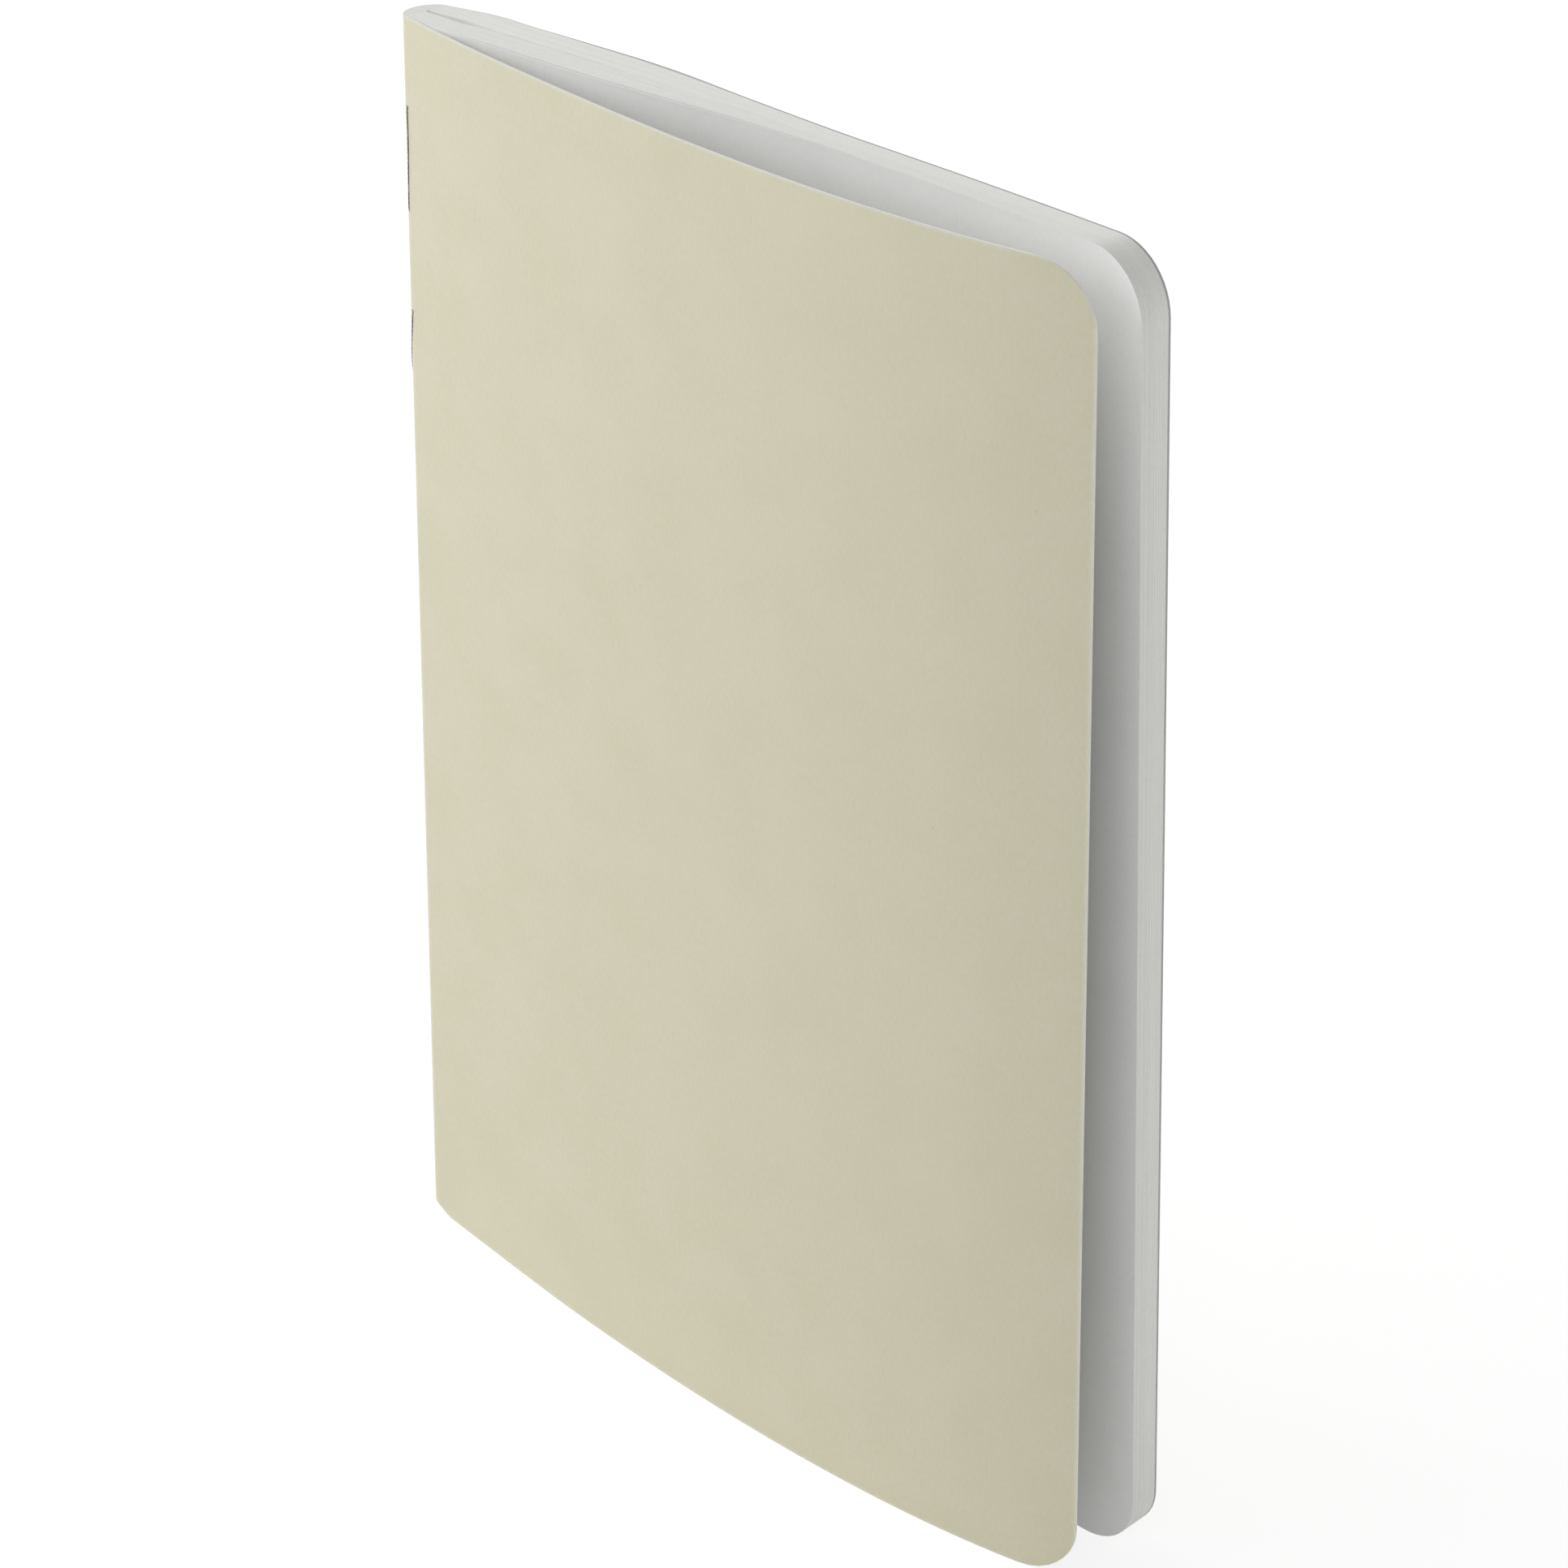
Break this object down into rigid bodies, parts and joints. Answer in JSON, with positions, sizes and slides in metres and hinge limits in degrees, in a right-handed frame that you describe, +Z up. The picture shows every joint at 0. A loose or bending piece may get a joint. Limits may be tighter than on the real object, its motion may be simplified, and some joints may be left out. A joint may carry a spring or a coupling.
{
  "type": "softcover notebook",
  "caption": "Thin A5 softcover notebook with rounded fore corners, sewn through the fold, standing with its front cover sprung a little open.",
  "frame": {"origin": "centre of the notebook's footprint, at its tail edges, as it stands with the front cover sprung open", "axes": "+X from the spine to the fore edge, +Y from the front cover to the back cover, +Z up the page from tail to head"},
  "size_m": [0.1506, 0.0228, 0.21],
  "materials": {
    "paper": "smooth matt white writing paper",
    "cover_card": "smooth matt cream cover card, white at its cut edges",
    "thread": "dark grey waxed sewing thread"
  },
  "bodies": {
    "back_cover": {"back_cover": "cover_card", "leaf_32": "paper"},
    "first_leaf": {"leaf_01": "paper", "cover_spine_front": "cover_card"},
    "front_cover": {"front_cover": "cover_card"},
    "leaf_31": {"leaf_31": "paper"},
    "leaf_02": {"leaf_02": "paper"},
    "leaf_30": {"leaf_30": "paper"},
    "leaf_03": {"leaf_03": "paper"},
    "leaf_29": {"leaf_29": "paper"},
    "leaf_04": {"leaf_04": "paper"},
    "leaf_28": {"leaf_28": "paper"},
    "leaf_05": {"leaf_05": "paper"},
    "leaf_27": {"leaf_27": "paper"},
    "leaf_06": {"leaf_06": "paper"},
    "leaf_26": {"leaf_26": "paper"},
    "leaf_07": {"leaf_07": "paper"},
    "leaf_25": {"leaf_25": "paper"},
    "leaf_08": {"leaf_08": "paper"},
    "leaf_24": {"leaf_24": "paper"},
    "leaf_09": {"leaf_09": "paper"},
    "leaf_23": {"leaf_23": "paper"},
    "leaf_10": {"leaf_10": "paper"},
    "leaf_22": {"leaf_22": "paper"},
    "leaf_11": {"leaf_11": "paper"},
    "leaf_21": {"leaf_21": "paper"},
    "leaf_12": {"leaf_12": "paper"},
    "leaf_20": {"leaf_20": "paper"},
    "leaf_13": {"leaf_13": "paper"},
    "leaf_19": {"leaf_19": "paper"},
    "leaf_14": {"leaf_14": "paper"},
    "leaf_18": {"leaf_18": "paper"},
    "leaf_15": {"leaf_15": "paper"},
    "leaf_17": {"leaf_17": "paper", "sewing_thread": "thread"},
    "leaf_16": {"leaf_16": "paper"}
  },
  "joints": [
    {"name": "block_opening", "type": "hinge", "parent": "back_cover", "child": "first_leaf", "pos_m": [-0.07536, 0.00434, 0], "axis": [0, 0, -1], "range_deg": [0, 170]},
    {"name": "leaf_31_turn", "type": "hinge", "parent": "back_cover", "child": "leaf_31", "pos_m": [-0.07536, 0.00434, 0], "axis": [0, 0, -1], "range_deg": [0, 1.14]},
    {"name": "sheet_02_fold", "type": "hinge", "parent": "leaf_31", "child": "leaf_02", "pos_m": [-0.07536, 0.00434, 0], "axis": [0, 0, -1], "range_deg": [0, 167.74]},
    {"name": "leaf_30_turn", "type": "hinge", "parent": "back_cover", "child": "leaf_30", "pos_m": [-0.07536, 0.00434, 0], "axis": [0, 0, -1], "range_deg": [0, 2.28]},
    {"name": "sheet_03_fold", "type": "hinge", "parent": "leaf_30", "child": "leaf_03", "pos_m": [-0.07536, 0.00434, 0], "axis": [0, 0, -1], "range_deg": [0, 165.48]},
    {"name": "leaf_29_turn", "type": "hinge", "parent": "back_cover", "child": "leaf_29", "pos_m": [-0.07536, 0.00434, 0], "axis": [0, 0, -1], "range_deg": [0, 3.41]},
    {"name": "sheet_04_fold", "type": "hinge", "parent": "leaf_29", "child": "leaf_04", "pos_m": [-0.07536, 0.00434, 0], "axis": [0, 0, -1], "range_deg": [0, 163.21]},
    {"name": "leaf_28_turn", "type": "hinge", "parent": "back_cover", "child": "leaf_28", "pos_m": [-0.07536, 0.00434, 0], "axis": [0, 0, -1], "range_deg": [0, 4.54]},
    {"name": "sheet_05_fold", "type": "hinge", "parent": "leaf_28", "child": "leaf_05", "pos_m": [-0.07536, 0.00434, 0], "axis": [0, 0, -1], "range_deg": [0, 160.94]},
    {"name": "leaf_27_turn", "type": "hinge", "parent": "back_cover", "child": "leaf_27", "pos_m": [-0.07536, 0.00434, 0], "axis": [0, 0, -1], "range_deg": [0, 5.68]},
    {"name": "sheet_06_fold", "type": "hinge", "parent": "leaf_27", "child": "leaf_06", "pos_m": [-0.07536, 0.00434, 0], "axis": [0, 0, -1], "range_deg": [0, 158.68]},
    {"name": "leaf_26_turn", "type": "hinge", "parent": "back_cover", "child": "leaf_26", "pos_m": [-0.07536, 0.00434, 0], "axis": [0, 0, -1], "range_deg": [0, 6.81]},
    {"name": "sheet_07_fold", "type": "hinge", "parent": "leaf_26", "child": "leaf_07", "pos_m": [-0.07536, 0.00434, 0], "axis": [0, 0, -1], "range_deg": [0, 156.41]},
    {"name": "leaf_25_turn", "type": "hinge", "parent": "back_cover", "child": "leaf_25", "pos_m": [-0.07536, 0.00434, 0], "axis": [0, 0, -1], "range_deg": [0, 7.94]},
    {"name": "sheet_08_fold", "type": "hinge", "parent": "leaf_25", "child": "leaf_08", "pos_m": [-0.07536, 0.00434, 0], "axis": [0, 0, -1], "range_deg": [0, 154.14]},
    {"name": "leaf_24_turn", "type": "hinge", "parent": "back_cover", "child": "leaf_24", "pos_m": [-0.07536, 0.00434, 0], "axis": [0, 0, -1], "range_deg": [0, 9.08]},
    {"name": "sheet_09_fold", "type": "hinge", "parent": "leaf_24", "child": "leaf_09", "pos_m": [-0.07536, 0.00434, 0], "axis": [0, 0, -1], "range_deg": [0, 151.88]},
    {"name": "leaf_23_turn", "type": "hinge", "parent": "back_cover", "child": "leaf_23", "pos_m": [-0.07536, 0.00434, 0], "axis": [0, 0, -1], "range_deg": [0, 10.21]},
    {"name": "sheet_10_fold", "type": "hinge", "parent": "leaf_23", "child": "leaf_10", "pos_m": [-0.07536, 0.00434, 0], "axis": [0, 0, -1], "range_deg": [0, 149.61]},
    {"name": "leaf_22_turn", "type": "hinge", "parent": "back_cover", "child": "leaf_22", "pos_m": [-0.07536, 0.00434, 0], "axis": [0, 0, -1], "range_deg": [0, 11.34]},
    {"name": "sheet_11_fold", "type": "hinge", "parent": "leaf_22", "child": "leaf_11", "pos_m": [-0.07536, 0.00434, 0], "axis": [0, 0, -1], "range_deg": [0, 147.34]},
    {"name": "leaf_21_turn", "type": "hinge", "parent": "back_cover", "child": "leaf_21", "pos_m": [-0.07536, 0.00434, 0], "axis": [0, 0, -1], "range_deg": [0, 12.48]},
    {"name": "sheet_12_fold", "type": "hinge", "parent": "leaf_21", "child": "leaf_12", "pos_m": [-0.07536, 0.00434, 0], "axis": [0, 0, -1], "range_deg": [0, 145.08]},
    {"name": "leaf_20_turn", "type": "hinge", "parent": "back_cover", "child": "leaf_20", "pos_m": [-0.07536, 0.00434, 0], "axis": [0, 0, -1], "range_deg": [0, 13.61]},
    {"name": "sheet_13_fold", "type": "hinge", "parent": "leaf_20", "child": "leaf_13", "pos_m": [-0.07536, 0.00434, 0], "axis": [0, 0, -1], "range_deg": [0, 142.81]},
    {"name": "leaf_19_turn", "type": "hinge", "parent": "back_cover", "child": "leaf_19", "pos_m": [-0.07536, 0.00434, 0], "axis": [0, 0, -1], "range_deg": [0, 14.74]},
    {"name": "sheet_14_fold", "type": "hinge", "parent": "leaf_19", "child": "leaf_14", "pos_m": [-0.07536, 0.00434, 0], "axis": [0, 0, -1], "range_deg": [0, 140.54]},
    {"name": "leaf_18_turn", "type": "hinge", "parent": "back_cover", "child": "leaf_18", "pos_m": [-0.07536, 0.00434, 0], "axis": [0, 0, -1], "range_deg": [0, 15.88]},
    {"name": "sheet_15_fold", "type": "hinge", "parent": "leaf_18", "child": "leaf_15", "pos_m": [-0.07536, 0.00434, 0], "axis": [0, 0, -1], "range_deg": [0, 138.28]},
    {"name": "leaf_17_turn", "type": "hinge", "parent": "back_cover", "child": "leaf_17", "pos_m": [-0.07536, 0.00434, 0], "axis": [0, 0, -1], "range_deg": [0, 17.01]},
    {"name": "sheet_16_fold", "type": "hinge", "parent": "leaf_17", "child": "leaf_16", "pos_m": [-0.07536, 0.00434, 0], "axis": [0, 0, -1], "range_deg": [0, 136.01]},
    {"name": "front_cover_crease", "type": "hinge", "parent": "first_leaf", "child": "front_cover", "pos_m": [-0.06866, -0.00009, 0], "axis": [0, 0, -1], "range_deg": [-3, 165]}
  ],
  "couplings": [
    {"joint": "leaf_31_turn", "follows": "block_opening", "ratio": 0.006667},
    {"joint": "sheet_02_fold", "follows": "block_opening", "ratio": 0.98667},
    {"joint": "leaf_30_turn", "follows": "block_opening", "ratio": 0.013333},
    {"joint": "sheet_03_fold", "follows": "block_opening", "ratio": 0.97333},
    {"joint": "leaf_29_turn", "follows": "block_opening", "ratio": 0.02},
    {"joint": "sheet_04_fold", "follows": "block_opening", "ratio": 0.96},
    {"joint": "leaf_28_turn", "follows": "block_opening", "ratio": 0.026667},
    {"joint": "sheet_05_fold", "follows": "block_opening", "ratio": 0.94667},
    {"joint": "leaf_27_turn", "follows": "block_opening", "ratio": 0.033333},
    {"joint": "sheet_06_fold", "follows": "block_opening", "ratio": 0.93333},
    {"joint": "leaf_26_turn", "follows": "block_opening", "ratio": 0.04},
    {"joint": "sheet_07_fold", "follows": "block_opening", "ratio": 0.92},
    {"joint": "leaf_25_turn", "follows": "block_opening", "ratio": 0.046667},
    {"joint": "sheet_08_fold", "follows": "block_opening", "ratio": 0.90667},
    {"joint": "leaf_24_turn", "follows": "block_opening", "ratio": 0.053333},
    {"joint": "sheet_09_fold", "follows": "block_opening", "ratio": 0.89333},
    {"joint": "leaf_23_turn", "follows": "block_opening", "ratio": 0.06},
    {"joint": "sheet_10_fold", "follows": "block_opening", "ratio": 0.88},
    {"joint": "leaf_22_turn", "follows": "block_opening", "ratio": 0.066667},
    {"joint": "sheet_11_fold", "follows": "block_opening", "ratio": 0.86667},
    {"joint": "leaf_21_turn", "follows": "block_opening", "ratio": 0.073333},
    {"joint": "sheet_12_fold", "follows": "block_opening", "ratio": 0.85333},
    {"joint": "leaf_20_turn", "follows": "block_opening", "ratio": 0.08},
    {"joint": "sheet_13_fold", "follows": "block_opening", "ratio": 0.84},
    {"joint": "leaf_19_turn", "follows": "block_opening", "ratio": 0.086667},
    {"joint": "sheet_14_fold", "follows": "block_opening", "ratio": 0.82667},
    {"joint": "leaf_18_turn", "follows": "block_opening", "ratio": 0.093333},
    {"joint": "sheet_15_fold", "follows": "block_opening", "ratio": 0.81333},
    {"joint": "leaf_17_turn", "follows": "block_opening", "ratio": 0.1},
    {"joint": "sheet_16_fold", "follows": "block_opening", "ratio": 0.8}
  ]
}
